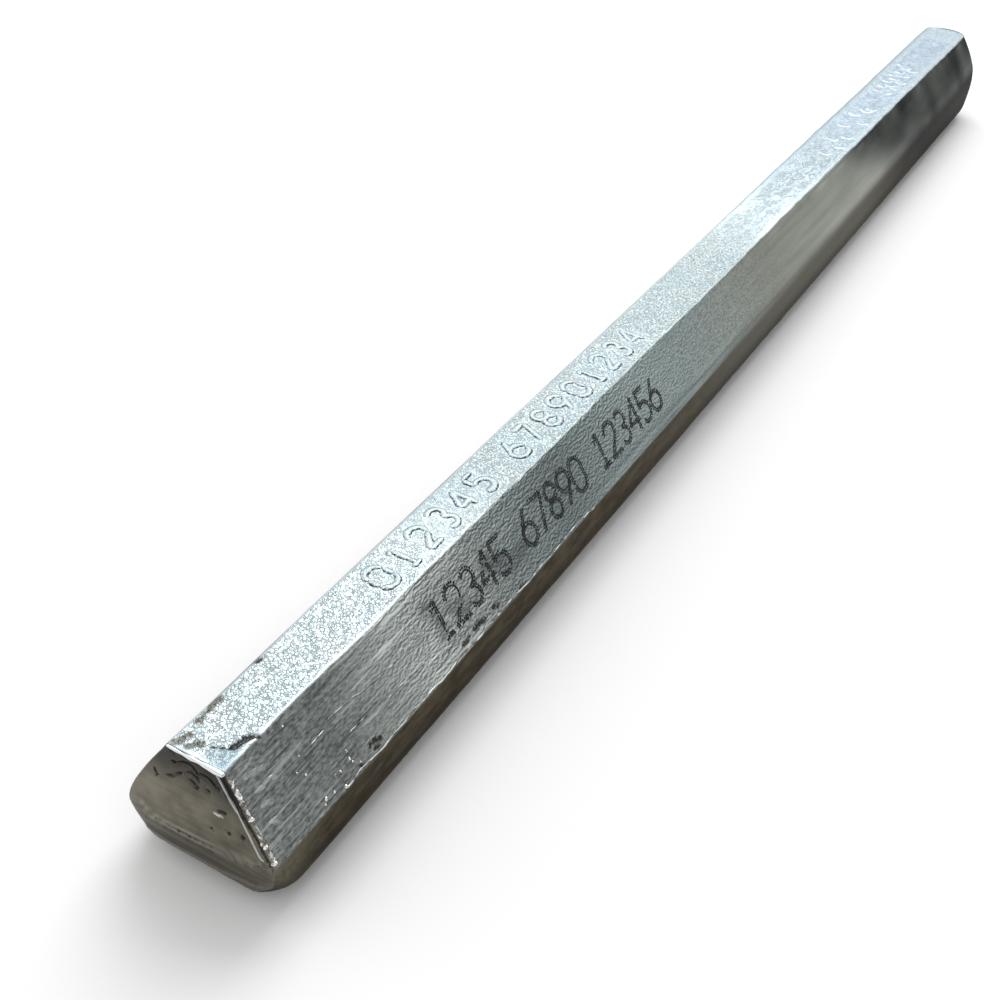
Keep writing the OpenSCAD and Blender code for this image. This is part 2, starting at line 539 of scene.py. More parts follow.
def lines(*strokes):
    """Several strokes, each given by the places it goes through, as points a fixed step apart."""
    placed = [np.array(places, float) for places in strokes]
    return [respaced(places, int(run_along(places)[-1] / PLACE_STEP) + 2) for places in placed]


def gap_to(strokes, along, up, reach=2.0):
    """Distance of each point to the nearest stroke, worked out only within reach of each stroke."""
    nearest = np.full(along.shape, 9.0)
    for stroke in strokes:
        (left, foot), (right, top) = stroke.min(0) - reach, stroke.max(0) + reach
        spot = (along > left) & (along < right) & (up > foot) & (up < top)
        gaps = np.hypot(along[spot][:, None] - stroke[:, 0], up[spot][:, None] - stroke[:, 1])
        nearest[spot] = np.minimum(nearest[spot], gaps.min(1))
    return nearest


def marks(strokes, along, up, inner, outer, wobble=0.0, reach=2.0):
    """A mask that is 1 within inner of a stroke and 0 beyond outer, its rim pushed by the wobble."""
    return 1 - ramp(gap_to(strokes, along, up, reach) + wobble, inner, outer)


print("a stroke of 2 mm has", len(lines(((0, 0), (2, 0)))[0]), "points")

# %% [markdown]
# The narrow face carries raised figures, cast by a mould with figures cut into it. They are plain
# counting numbers here, each drawn in a box one unit high. For now only their strokes are laid out,
# and the calmer ground beside them.

# %% Raised figures
FAR_AWAY = 99.0
FIGURES = {
    "0": [bow(0.3, 0.7, 0.3, 0, 180), straight(0, 0.7, 0, 0.3), bow(0.3, 0.3, 0.3, 180, 360),
          straight(0.6, 0.3, 0.6, 0.7)],
    "1": [straight(0.12, 0.8, 0.32, 1), straight(0.32, 1, 0.32, 0), straight(0.12, 0, 0.52, 0)],
    "2": [bow(0.3, 0.7, 0.3, 170, -35), straight(0.55, 0.53, 0, 0), straight(0, 0, 0.6, 0)],
    "3": [bow(0.3, 0.75, 0.25, 150, -90), bow(0.3, 0.25, 0.25, 90, -150)],
    "4": [straight(0.45, 0, 0.45, 1), straight(0.45, 1, 0, 0.3), straight(0, 0.3, 0.6, 0.3)],
    "5": [straight(0.55, 1, 0.08, 1), straight(0.08, 1, 0.06, 0.52), bow(0.28, 0.3, 0.3, 135, -140)],
    "6": [bow(0.3, 0.3, 0.3, 0, 360), straight(0.02, 0.4, 0.4, 1)],
    "7": [straight(0, 1, 0.6, 1), straight(0.6, 1, 0.2, 0)],
    "8": [bow(0.3, 0.75, 0.25, 0, 360), bow(0.3, 0.26, 0.26, 0, 360)],
    "9": [bow(0.3, 0.7, 0.3, 0, 360), straight(0.58, 0.6, 0.2, 0)],
    " ": [],
}


def row_of_figures(text, start, pitch, size, foot):
    """The strokes of a row of figures as (along, up) in mm, each figure size (wide, high) a unit."""
    return [stroke * size + (start + place * pitch, foot)
            for place, sign in enumerate(text) for stroke in FIGURES[sign]]


cast_strokes = row_of_figures("012345 678901234", start=-129.2, pitch=5.2, size=(5.4, 4.7), foot=-2.3)
face_y = np.where(on_face > 0.3, y, FAR_AWAY)
beside_figures = marks(cast_strokes, x, face_y, 0.7, 1.3)
print("strokes of the figures:", len(cast_strokes))

# %% [markdown]
# The rest of the face froze against the mould in small pebbles, coarse at the near end and fading
# to a smooth skin at the far end, where the last of the melt shrank into a sunk panel of
# overlapping scales. The two long edges stayed smooth. Chips and a crack mark the near corner.

# %% Relief of the narrow face
PEBBLE_SIZE, PEBBLE_HEIGHT, FACE_WAVE = 0.7, 0.05, 0.03
SCALE_HEIGHT, PANEL_SINK, BORDER_WIDTH = 0.12, 0.16, 2.3
BEAD_HEIGHT, CHIP_DEPTH, CRACK_DEPTH = 0.12, 0.35, 0.1
STRIP_ZONE, CURL_ZONE, CALM_ZONE = (-95, -130), (-10, 25), (100, 50)
NEAR_RIM, COARSE_ZONE = (-165.6, -164.4), (-20, -127)
PANEL_FROM, PANEL_TO = (40, 92), (157, 149)
SCALES = (
    (53.1, -0.8, 1.3), (58.9, -2.1, 1.4), (62.5, 0.6, 1.2), (65.7, -1.8, 1.3), (72.9, 1.2, 1.4),
    (76.9, -2.1, 1.2), (81.8, 1.2, 1.3), (86.0, -0.4, 1.5), (87.7, -1.3, 1.2), (101.8, -0.6, 1.3),
    (102.5, 1.6, 1.3), (105.9, 1.7, 1.1), (106.2, -1.7, 1.2), (108.0, 0.2, 1.3), (110.6, 1.7, 1.1),
    (111.5, -1.5, 1.2), (113.5, 0.6, 1.2), (116.0, 1.8, 1.0), (117.0, -0.9, 1.2), (119.5, 0.9, 1.1),
    (122.3, -1.7, 1.2), (123.8, 0.6, 1.3), (125.0, 2.0, 1.0))
SCALE_ARC = (112, 272)
CHIP_STROKES = lines(((-159.1, -3.8), (-159.6, -3.1), (-160.9, -2.6), (-161.9, -2.5)),
                     ((-149.2, 4.0), (-148.8, 4.0)))
CRACK_STROKES = lines(((-163.3, -0.4), (-162.8, -1.4), (-162.4, -2.4), (-161.4, -2.6)))
BEAD_STROKES = lines(((-160.6, -3.6), (-160.4, -3.7)), ((-159.6, -4.0), (-159.4, -4.0)))


def span(values):
    """The least and the greatest of an array, rounded to hundredths, for printing."""
    return round(float(values.min()), 2), round(float(values.max()), 2)


pebble_places = np.stack([x, y], -1) + 0.25 * soft_noise(body, 0.9, 3)[..., None]
nearest, second = pebble_distances(pebble_places, PEBBLE_SIZE, 4)
pebbles = ramp(second - nearest, 0.0, 0.4) - 0.6
edge_gap = half_at(x) - np.abs(y)
smooth_strip = 0.4 * ramp(x, *STRIP_ZONE) + 0.2 * soft_noise(along_only, 2.0, 27) - 0.2
smooth_edge = ramp(half_at(x) + y - smooth_strip, 0.0, 0.4) * ramp(half_at(x) - y, 0.0, 0.3)
curled_border = ramp(x, *CURL_ZONE) * (1 - ramp(edge_gap, 0.7, 1.7))
fading = (0.25 + 0.75 * ramp(x, *CALM_ZONE)) * ramp(x, *NEAR_RIM)
pebbled = smooth_edge * (1 - curled_border) * fading * (1 - 0.2 * beside_figures)
scale_strokes = [bow(*scale, *SCALE_ARC) for scale in SCALES]
scale_rims = marks(scale_strokes, x, face_y, 0.06, 0.3, 0.12 * soft_noise(body, 0.6, 5))
border_gap = edge_gap + 0.4 * soft_noise(body, 1.8, 6) + 0.3 * soft_noise(body, 0.8, 9)
panel = ramp(x, *PANEL_FROM) * ramp(border_gap, BORDER_WIDTH - 0.5, BORDER_WIDTH + 0.5) * ramp(x, *PANEL_TO)
upper_y = np.where(normals[..., 2] > 0.3, y, FAR_AWAY)
chips = marks(CHIP_STROKES, x, upper_y, 0.22, 0.55, 0.15 * soft_noise(body, 0.5, 7)) * (1 - on_end)
cracks = marks(CRACK_STROKES, x, face_y, 0.08, 0.3) * on_face
face_beads = marks(BEAD_STROKES, x, face_y, 0.05, 0.4) * on_face
pebble_relief = PEBBLE_HEIGHT * pebbles * pebbled * ramp(x, *COARSE_ZONE)
face_relief = pebble_relief + FACE_WAVE * soft_noise(body, 2.2, 8)
face_relief = on_face * (face_relief + SCALE_HEIGHT * scale_rims - PANEL_SINK * panel)
face_relief += BEAD_HEIGHT * face_beads - CHIP_DEPTH * chips - CRACK_DEPTH * cracks
print("face relief between", *span(face_relief), "mm")

# %% [markdown]
# The sides slid out of the mould, which dragged lines along them near the first end. Slow waves in
# the surface make the mirrored light drift, as it does on any cast metal. The edges of the face
# wander a little for the same reason, and the crease is softer where the melt pulled it round.

# %% Relief of the sides and of the edges of the face
DRAG_HEIGHT, WAVE_HEIGHT, DRAG_ZONE = 0.03, 0.06, (-30, -117)
PLAIN_SOFTNESS, PRINTED_SOFTNESS = 0.35, 0.1
PLAIN_ROUND, MIDDLE_ROUND, FAR_ROUND = (-135, -166), (-20, 60), (125, 163)


def side_relief(points):
    """Slow waves plus lengthwise drag lines, which are noise stretched forty times along the bar and
    fade away from the near end."""
    drag = soft_noise(points * (0.025, 1, 1), 1.7, 21)
    wave = soft_noise(points * (0.3, 1, 1), 9.0, 23)
    strength = 0.2 + 0.8 * ramp(points[..., 0], *DRAG_ZONE)
    return DRAG_HEIGHT * drag * strength + WAVE_HEIGHT * wave


edge_weight = ramp(np.abs(side_run - 0.3), 1.6, 0.2) * (1 - on_end)
edge_wander = 0.1 * soft_noise(along_only, 7.0, 24) + 0.07 * soft_noise(along_only, 2.5, 25)
plain_softness = PLAIN_SOFTNESS + 1.5 * ramp(x, *PLAIN_ROUND)
printed_softness = PRINTED_SOFTNESS + 0.5 * ramp(x, *MIDDLE_ROUND) + 0.8 * ramp(x, *FAR_ROUND)
crease_softness = np.where(y > 0, plain_softness, printed_softness)
from_crease = np.abs(z - crease_at(x)) * np.tan(SIDE_DRAFT) / crease_softness
crease_inset = crease_softness * np.log1p(np.exp(-from_crease)) * ramp(np.abs(y), 4, 9)
sideways_shift = np.sign(y) * (edge_weight * edge_wander - crease_inset)
side_bumps = on_side * side_relief(body)
print("side relief up to", round(float(np.abs(side_bumps).max()), 3), "mm")

# %% [markdown]
# Where two mould parts met at the near corner, melt crept into the gap and left a groove beside it.
# The end wall shows folds where the first cold metal wrinkled, a small pit with a bright lip, and
# level ledges low down where the open surface began.

# %% Relief of the ends
GROOVE_DEPTH, GROOVE_INSET, FOLD_DEPTH, LEDGE_HEIGHT, PIT_LIP = 0.3, 0.75, 0.06, 0.12, 0.1
LEDGE_SHADE_DROP = 0.55
FOLD_STROKES = lines(
    ((3.9, 18.0), (3.5, 18.3), (2.8, 18.3), (1.9, 19.0), (1.1, 19.2), (0.4, 19.0), (0.0, 18.7),
     (-0.3, 18.1)), ((4.6, 15.6), (3.6, 15.9), (2.9, 16.6), (2.2, 17.2)),
    ((1.6, 17.6), (0.8, 18.1), (0.0, 17.8), (-0.5, 17.3)), ((1.0, 17.0), (0.3, 16.6), (-0.4, 16.2)),
    ((0.6, 16.6), (0.1, 16.1), (-0.2, 15.9)),
    ((-0.2, 18.4), (-1.2, 18.7), (-2.1, 18.5), (-2.6, 18.0), (-3.4, 17.6)),
    ((6.4, 15.9), (6.1, 15.1), (5.9, 14.7)), ((-1.5, 16.8), (-2.0, 16.4)),
    ((-2.0, 10.9), (-2.3, 10.7)), ((-4.6, 11.7), (-5.0, 11.4)), ((-6.5, 12.3), (-7.0, 11.9)),
    ((-3.0, 14.2), (-3.7, 14.4), (-4.4, 14.5)), ((3.6, 20.2), (3.2, 19.9)))
WEDGE_STROKES = lines(((-1.4, 19.9), (-3.2, 19.2), (-4.2, 18.2), (-5.0, 17.4)))
PIT_STROKES = lines(((-2.8, 13.7), (-3.2, 13.65), (-3.7, 13.8)))
LEDGE_STROKES = lines(((9.7, 9.1), (8.4, 8.1), (4.8, 7.7), (-0.2, 8.0), (-6.0, 8.5), (-9.4, 9.4)),
                      ((8.8, 7.2), (5.2, 7.0), (0.6, 7.1), (-5.4, 7.7), (-9.2, 8.7)),
                      ((8.4, 4.3), (4.1, 3.9), (-3.4, 4.1), (-9.2, 4.9)))

end_y = np.where((on_end > 0.5) & near_half, y, FAR_AWAY)
corner_gap = (half_at(x) + (face_z - z) * np.tan(SIDE_DRAFT) - np.abs(y)) * np.cos(SIDE_DRAFT)
moulded = ramp(z - crease_at(x), -1.0, 0.5) * ramp(z, face_z - 0.6, face_z - 1.3)
on_flash = on_end * near_half * (y < 0) * moulded
groove_gap = np.abs(corner_gap - GROOVE_INSET + 0.12 * soft_noise(body * (0, 1, 1), 2.2, 31))
groove = on_flash * (1 - ramp(groove_gap, 0.12, 0.4))
folds = marks(FOLD_STROKES, end_y, z, 0.1, 0.6)
pits = marks(PIT_STROKES, end_y, z, 0.03, 0.24)
wedge = marks(WEDGE_STROKES, end_y, z, 0.3, 1.1)
ledges = marks(LEDGE_STROKES, end_y, z, 0.05, 0.4)
ledge_shade = marks(LEDGE_STROKES, end_y, z + LEDGE_SHADE_DROP, 0.05, 0.4)
end_relief = PIT_LIP * pits + LEDGE_HEIGHT * ledges - GROOVE_DEPTH * groove - FOLD_DEPTH * folds
end_relief += on_end * 0.04 * soft_noise(body, 3.0, 35)
print("end relief between", *span(end_relief), "mm")

# %% [markdown]
# The belly set in the open. Its skin shows faint ripples, and underneath the melt sank a little
# along the middle as it shrank. Relief there only goes inwards, so the bar still lies flat.

# %% Relief of the belly, and the finished surface
SINK_DEPTH, RIPPLE_HEIGHT, UNDERSIDE_RIPPLE = 0.5, 0.04, 0.05
ripples = soft_noise(body * (0.5, 1, 1), 2.6, 41) + 0.5 * soft_noise(body, 1.5, 42)
underside = ramp(normals[..., 2], -0.7, -0.98)
sink = underside * ramp(np.abs(y), 6.5, 1.5) * ramp(np.abs(x), 158, 140)
belly_relief = on_belly * (1 - underside) * RIPPLE_HEIGHT * ripples
belly_relief -= underside * UNDERSIDE_RIPPLE * (1 + ripples / 1.5)
belly_relief -= SINK_DEPTH * sink * (1 + 0.3 * soft_noise(body, 11.0, 43))
relief = face_relief + side_bumps + end_relief + belly_relief
surface = body + normals * relief[..., None] + sideways_shift[..., None] * np.array([0, 1, 0])
surface = np.clip(surface, low, high)
print("surface spans", np.round(surface.min((0, 1)), 2), np.round(surface.max((0, 1)), 2), "mm")

# %% [markdown]
# The grid becomes one closed mesh: every four neighbours make a face, the outline closes on itself,
# and a single point closes each end. The same functions will serve every smaller piece.

# %% Mesh of the bar
def closed_grid(grid):
    """Points and faces of a closed grid of rings: quads between neighbours and a fan from a middle
    point to each end ring."""
    rings, points = grid.shape[:2]
    number = np.arange(rings * points).reshape(rings, points)
    beside = np.roll(number, -1, axis=1)
    quads = np.stack([number[:-1], beside[:-1], beside[1:], number[1:]], -1).reshape(-1, 4)
    first, last = rings * points, rings * points + 1
    fans = np.concatenate([np.stack([np.full(points, first), beside[0], number[0]], -1),
                           np.stack([np.full(points, last), number[-1], beside[-1]], -1)])
    return np.concatenate([grid.reshape(-1, 3), [grid[0].mean(0), grid[-1].mean(0)]]), quads, fans


def smooth_mesh(name, points, faces):
    """A mesh with smooth shading from points in mm and lists of point numbers."""
    mesh = bpy.data.meshes.new(name)
    mesh.from_pydata(points * MM, [], faces)
    mesh.polygons.foreach_set("use_smooth", np.ones(len(mesh.polygons), bool))
    return mesh


def grids_mesh(name, grids):
    """One smooth mesh from several closed grids in mm."""
    vertices, faces, count = [], [], 0
    for grid in grids:
        points, quads, fans = closed_grid(grid)
        vertices.append(points)
        faces += (quads + count).tolist() + (fans + count).tolist()
        count += len(points)
    return smooth_mesh(name, np.concatenate(vertices), faces)


def store_mask(mesh, name, values):
    """A number for each point of a mesh, kept under a name that the finish can read."""
    attribute = mesh.attributes.new(name, "FLOAT", "POINT")
    attribute.data.foreach_set("value", np.ravel(values).astype(np.float32))


def with_middles(values):
    """A closed grid's numbers, followed by the means of its end rings for the two middle points."""
    return np.append(values, (values[0].mean(), values[-1].mean()))


def add_piece(name, mesh):
    """An object for a mesh, at the origin, riding on the bar's body."""
    piece = bpy.data.objects.new(name, mesh)
    bpy.context.scene.collection.objects.link(piece)
    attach(piece, "root")
    return piece


bar_mesh = grids_mesh("solder_bar_cast", [surface])
bar = add_piece("solder_bar_cast", bar_mesh)
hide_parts("solder_bar")
bar_mesh.calc_loop_triangles()
print("bar has", len(bar_mesh.loop_triangles), "triangles")

# %% [markdown]
# The finish needs to know where each kind of skin lies, so masks are stored on the points of the
# mesh. Stains are strokes and patches: brown marks at the near corner, and soot in the chips and round
# the folds. Painted light and shade are stored the same way: shade under the lip, beneath the ledges,
# in the groove and along the plain edge of the face, highlights on the ledges, a factor of light along
# the sides, and a dark painted reflection on the last stretch of the printed side.

# %% Masks for the finish, stored on the mesh
FACE_STAINS = lines(((-163.1, 2.8), (-164.2, 2.9), (-165.1, 3.3)), ((-163.6, 1.3), (-164.7, 1.7)),
                    ((-156.3, 3.6), (-158.3, 3.5), (-160.9, 3.2)), ((-163.4, 0.7), (-163.7, 0.5)))
COLD_SKIN = lines(((-164.0, -1.4), (-162.4, -2.9), (-164.4, -3.8), (-165.2, -2.4)))
SMUDGES = lines(((-126.3, 3.9), (-125.1, 6.6), (-125.2, 8.6)), ((-122.7, 6.3), (-120.0, 8.1)),
                ((-112.0, 6.0), (-108.0, 8.4), (-103.2, 8.3)))
# Painted light along the bar: a factor on the sides' colour at each place.
PAINTED_SIDE_LIGHT = np.array([(-166, 0.71), (-150, 0.68), (-132, 1.35), (-112, 0.85), (-90, 0.6),
                       (-60, 1.1), (0, 1.1), (40, 1.4), (62, 1.45), (166, 1.35)])
GRAINED_FROM, GRAINED_TO = (-154, -125), (-6, -80)
DARK_REFLECTION_ZONE, DARK_REFLECTION_SLANT, PAINTED_RIM_SHADE_ZONE = (50, 80), 2.4, (0, 70)
LIP_SHADE_DEPTH = 0.85

side_down = np.where(on_printed > 0.3, side_run, FAR_AWAY)
wobble = 0.3 * soft_noise(body, 0.8, 51)
face_stains = marks(FACE_STAINS, x, face_y, 0.2, 0.7, wobble)
cold_skin_and_shade = marks(COLD_SKIN, x, face_y, 0.5, 1.2, wobble) * on_face
smudges = marks(SMUDGES, x, side_down, 0.2, 2.4, 3 * wobble, reach=4.0) * on_printed
lip_shade = 1 - ramp(np.abs(face_z - z - LIP_SHADE_DEPTH + 0.4 * wobble), 0.15, 0.4)
# Painted reflection: a dark patch on the far stretch of the printed side and on the far end, for the dark
# surroundings the metal mirrors there; the smudges join it.
dark_reflection_x = x - DARK_REFLECTION_SLANT * (side_run - 4) + 5 * soft_noise(body * (0.4, 1, 1), 6.0, 53)
dark_reflection_and_smudges = (y < 0) * (1 - on_face) * ramp(dark_reflection_x, *DARK_REFLECTION_ZONE) * (0.85 + 0.15 * soft_noise(body, 7.0, 54))
dark_reflection_and_smudges = np.where(on_end > 0.5, 0.9 * (x > 0), np.maximum(dark_reflection_and_smudges, 0.45 * smudges))
# Painted shade along the plain edge of the face, from the middle on; the cold-skin mask carries it.
painted_rim_shade = on_face * (y > 0) * ramp(half_at(x) - y, 1.5, 0.4) * ramp(x, *PAINTED_RIM_SHADE_ZONE)
# Soot is partly real, in the chips, cracks, folds and stains, and partly painted shade: in the groove,
# under the lip, in the dark wedge below it and beneath the ledges.
soot = 0.42 * folds + 0.4 * ledge_shade + 0.72 * wedge + 0.3 * face_stains + groove + chips
soot += 0.7 * cracks + 0.8 * on_end * near_half * lip_shade
MASKS = {
    "moulded_face": on_face,
    "pebbled": on_face * pebbled,
    "sunk_panel": on_face * panel,
    "grained": on_printed * ramp(x, *GRAINED_FROM) * ramp(x, *GRAINED_TO),
    "end_wall": on_end * near_half,
    "painted_ledge_highlight": ledges,
    "open_cast": on_belly,
    "soot": np.clip(soot, 0, 1),
    "tarnish": face_stains,
    "cold_skin_and_shade": np.maximum(cold_skin_and_shade, painted_rim_shade),
    "dark_reflection_and_smudges": dark_reflection_and_smudges,
    # Polish, partly painted highlight: on the face's beads, the pit's lip and the rims of the scales.
    "polish": np.clip(face_beads + 0.7 * pits + 0.7 * scale_rims, 0, 1),
    "painted_side_light": np.interp(x, *PAINTED_SIDE_LIGHT.T),
}
for name, values in MASKS.items():
    store_mask(bar_mesh, name, with_middles(values))
print("masks stored:", ", ".join(MASKS))

# %% [markdown]
# One metal, four skins: bright and pebbled on the face, grey and grained on the sides, brownish and
# smooth on the ends, dark and dull on the belly. Their tones are partly the metal's own finish and
# partly painted reflection: the face holds the bright sky it mirrors, the sides the dim horizon, the
# end a brown ground and the belly the shaded floor. The shader works each skin out from the place on
# the bar in millimetres and lets the stored masks choose between them. A picture wrapped round the
# bar would do too, but a formula keeps its grain at any distance.

# %% Coordinates of the finish
NEAR_STRETCH = (-88.0, -132.0)
finish, tree, shader = new_material("cast_solder")
place = node(tree, "Mapping", {
    "Vector": node(tree, "TexCoord").outputs["Object"], "Scale": (1000, 1000, 1000)}).outputs[0]


def stretched(scale, turn=0.0):
    """The place on the bar turned about the upright axis, then scaled, which stretches a pattern
    along the axes with small scales."""
    turned = node(tree, "Mapping", {"Vector": place, "Rotation": (0, 0, turn)}).outputs[0]
    return node(tree, "Mapping", {"Vector": turned, "Scale": scale}).outputs[0]


def warped(vector, scale, amount):
    """A place pushed about by a noise of its own, by up to half the amount each way."""
    push = node(tree, "TexNoise", {"Vector": vector, "Scale": scale, "Detail": 1.0}).outputs["Color"]
    centred = node(tree, "VectorMath", {0: push, 1: (0.5, 0.5, 0.5)}, operation="SUBTRACT").outputs[0]
    sized = node(tree, "VectorMath", {0: centred, "Scale": amount}, operation="SCALE").outputs[0]
    return node(tree, "VectorMath", {0: vector, 1: sized}, operation="ADD").outputs[0]


def noise(vector, scale, detail=3.0, curl=0.0):
    """Noise from 0 to 1 at so many features a millimetre, with its shapes curled up if wanted."""
    inputs = {"Vector": vector, "Scale": scale, "Detail": detail, "Distortion": curl}
    return node(tree, "TexNoise", inputs).outputs["Fac"]


def mask(name):
    """One of the masks stored on the mesh."""
    return node(tree, "Attribute", attribute_name=name).outputs["Fac"]


def times(first, second):
    """One number times another."""
    return sums(tree, "MULTIPLY", first, second)


def swing(value, amount):
    """A noise of 0 to 1 made to swing about zero, by half the amount each way."""
    return times(sums(tree, "SUBTRACT", value, 0.5), amount)


along = node(tree, "SeparateXYZ", {0: place}).outputs["X"]
upright = node(tree, "SeparateXYZ", {0: place}).outputs["Z"]
nearness = spread(tree, along, *NEAR_STRETCH)
print("finish has its coordinates")

# %% [markdown]
# The face is the brightest skin. At the near end dark lines run between its pebbles, further on they
# shrink to a fine grain, and past the middle they turn to soft curls under a bluish frost. Cells give
# the lines, and noise gives the rest. The near end's dark lines and commas are painted shade on the
# pebbles' turned-away flanks.

# %% Skin of the face
PEBBLE_TURN = np.radians(-60)
COARSE_PEBBLES, CURLS, FROST = (-98.0, -132.0), (-15.0, 25.0), (-10.0, 55.0)

pebble_place = warped(stretched((0.8, 1, 1), PEBBLE_TURN), 1.8, 0.3)
cells = node(tree, "TexVoronoi", {"Vector": pebble_place, "Scale": 2.2}, feature="DISTANCE_TO_EDGE")
# Painted shade: dark cell lines where the pebbles meet, and commas on their turned-away flanks.
cell_line = times(spread(tree, cells.outputs["Distance"], 0.02, 0.15, 1.0, 0.0),
                  spread(tree, noise(place, 1.6, 2.0), 0.34, 0.52))
painted_comma_shade = spread(tree, noise(stretched((0.5, 1, 1), PEBBLE_TURN), 4.6, 2.0), 0.45, 0.34)
painted_pebble_shade = sums(tree, "MAXIMUM", cell_line, times(painted_comma_shade, 0.8))
grain_dark = spread(tree, noise(stretched((0.8, 1, 1), PEBBLE_TURN), 4.4), 0.64, 0.40)
pebble_dark = mix(tree, spread(tree, along, *COARSE_PEBBLES), grain_dark, painted_pebble_shade, "FLOAT")
curl_dark = spread(tree, noise(stretched((0.5, 1, 1)), 0.8, 4.0, 1.3), 0.6, 0.38, 0.0, 0.75)
pebble_dark = mix(tree, spread(tree, along, *CURLS), pebble_dark, curl_dark, "FLOAT")
pebble_dark = times(pebble_dark, mask("pebbled"))
patch = spread(tree, noise(place, 0.14, 2.0), 0.35, 0.65)
face_bright = mix(tree, patch, (0.63, 0.70, 0.72, 1), (0.565, 0.675, 0.71, 1))
frost_tone = spread(tree, noise(place, 2.4), 0.35, 0.65)
frost = mix(tree, frost_tone, (0.28, 0.35, 0.4, 1), (0.45, 0.535, 0.585, 1))
face_bright = mix(tree, spread(tree, along, *FROST, 0.0, 0.85), face_bright, frost)
face_colour = mix(tree, pebble_dark, face_bright, (0.225, 0.27, 0.28, 1))
panel_tone = spread(tree, noise(place, 0.6, 3.0, 1.0), 0.3, 0.7)
panel_colour = mix(tree, panel_tone, (0.27, 0.335, 0.40, 1), (0.42, 0.50, 0.575, 1))
face_colour = mix(tree, mask("sunk_panel"), face_colour, panel_colour)
# Cold skin near the corner, and painted shade along the plain edge and at the figures' feet.
face_colour = mix(tree, times(mask("cold_skin_and_shade"), 0.75), face_colour, (0.28, 0.36, 0.40, 1))
face_height = sums(tree, "SUBTRACT", swing(noise(place, 5.0), 0.5), times(pebble_dark, 0.35))
print("face skin ready")

# %% [markdown]
# The sides are grey. Near the first end they are mottled and drawn with drag lines, then they carry a
# leathery grain, and the far half is smooth with soft streaks. The grain looks raised because it is
# the difference of one noise and the same noise moved a little down the side, as if lit from above.

# %% Skin of the sides
FLANK_STEP = (0.03, -0.09, -0.13)
SMOOTH, STREAKS, LOW_SIDE, LOW_STREAKS = (-45.0, 25.0), (80.0, 0.0), (13.6, 11.0), (-100.0, -60.0)
COOLER, WARMER = (-125.0, -95.0), (-50.0, 5.0)

mottle = noise(stretched((0.4, 1, 1)), 3.2, 4.0)
grain = noise(stretched((0.5, 1, 1)), 2.8)
below = node(tree, "Mapping", {"Vector": stretched((0.5, 1, 1)), "Location": FLANK_STEP}).outputs[0]
flank = sums(tree, "SUBTRACT", noise(below, 2.8), grain)
drag = noise(stretched((0.045, 1, 1)), 2.2, 4.0)
streak = noise(stretched((0.03, 1, 1)), 1.0, 4.0)
cloudy = noise(stretched((0.3, 1, 1)), 0.16)
bright_line = times(spread(tree, drag, 0.55, 0.7, 0.0, 0.65), nearness)
dark_line = times(spread(tree, drag, 0.44, 0.30, 0.0, 0.6), nearness)
mottled_tone, flank_tone = spread(tree, mottle, 0.2, 0.8), spread(tree, flank, -0.13, 0.13)
rough_tone = mix(tree, mask("grained"), mottled_tone, flank_tone, "FLOAT")
low_side = times(spread(tree, upright, *LOW_SIDE), spread(tree, along, *LOW_STREAKS, 0.0, 0.6))
rough_tone = mix(tree, low_side, rough_tone, spread(tree, streak, 0.35, 0.65), "FLOAT")
cloudy_tone = spread(tree, cloudy, 0.2, 0.8, 0.4, 0.65)
streak_tone = spread(tree, streak, 0.3, 0.7, 0.3, 0.75)
smooth_tone = mix(tree, spread(tree, along, *STREAKS, 0.15, 0.5), cloudy_tone, streak_tone, "FLOAT")
smoothness = spread(tree, along, *SMOOTH)
side_tone = mix(tree, smoothness, rough_tone, smooth_tone, "FLOAT")
side_colour = mix(tree, side_tone, (0.12, 0.136, 0.13, 1), (0.52, 0.555, 0.535, 1))
side_colour = mix(tree, bright_line, side_colour, (0.75, 0.79, 0.77, 1))
side_colour = mix(tree, dark_line, side_colour, (0.06, 0.068, 0.066, 1))
tint = mix(tree, spread(tree, along, *COOLER), (1.0, 1.0, 1.0, 1), (0.93, 1.03, 1.06, 1))
tint = mix(tree, spread(tree, along, *WARMER), tint, (1.04, 1.02, 0.93, 1))
tinted = node(tree, "VectorMath", {0: side_colour, 1: tint}, operation="MULTIPLY").outputs[0]
# The sides' colour is scaled by the painted light along the bar.
lit = node(tree, "VectorMath", {0: tinted, "Scale": mask("painted_side_light")}, operation="SCALE").outputs[0]
# Colour of the painted dark reflection, which the smudges share.
dark_reflection_tone = spread(tree, cloudy, 0.3, 0.7)
dark_reflection_colour = mix(tree, dark_reflection_tone, (0.021, 0.0265, 0.0285, 1), (0.071, 0.084, 0.087, 1))
side_colour = mix(tree, mask("dark_reflection_and_smudges"), lit, dark_reflection_colour)
side_height = mix(tree, mask("grained"), swing(mottle, 0.9), swing(grain, 2.6), "FLOAT")
side_height = sums(tree, "ADD", side_height, times(swing(drag, nearness), 0.8))
side_height = times(side_height, spread(tree, smoothness, 0.0, 1.0, 1.0, 0.1))
print("side skin ready")

# %% [markdown]
# The near end is brown, a painted reflection of a brown ground. It is darkest under the lip and at its
# foot, which is painted shade, and level streaks cross it low down, with a painted highlight on each
# ledge. The belly never touched the mould: it is dull, painted dark as a reflection of the shaded
# ground, a little paler past the middle, and darkest where it turns under, which is painted shade too.

# %% Skins of the ends and of the belly
END_LEVELS, END_SHADE_UNDER_LIP, END_SHADE_AT_FOOT = (10.0, 6.0), (12.5, 19.5), (9.0, 3.0)
PALER_BELLY, FAR_BELLY, BELLY_SHADE_UNDER, NEAR_CORNER = (-80.0, 0.0), (50.0, 95.0), (7.5, 2.0), (-156.0, -164.5)

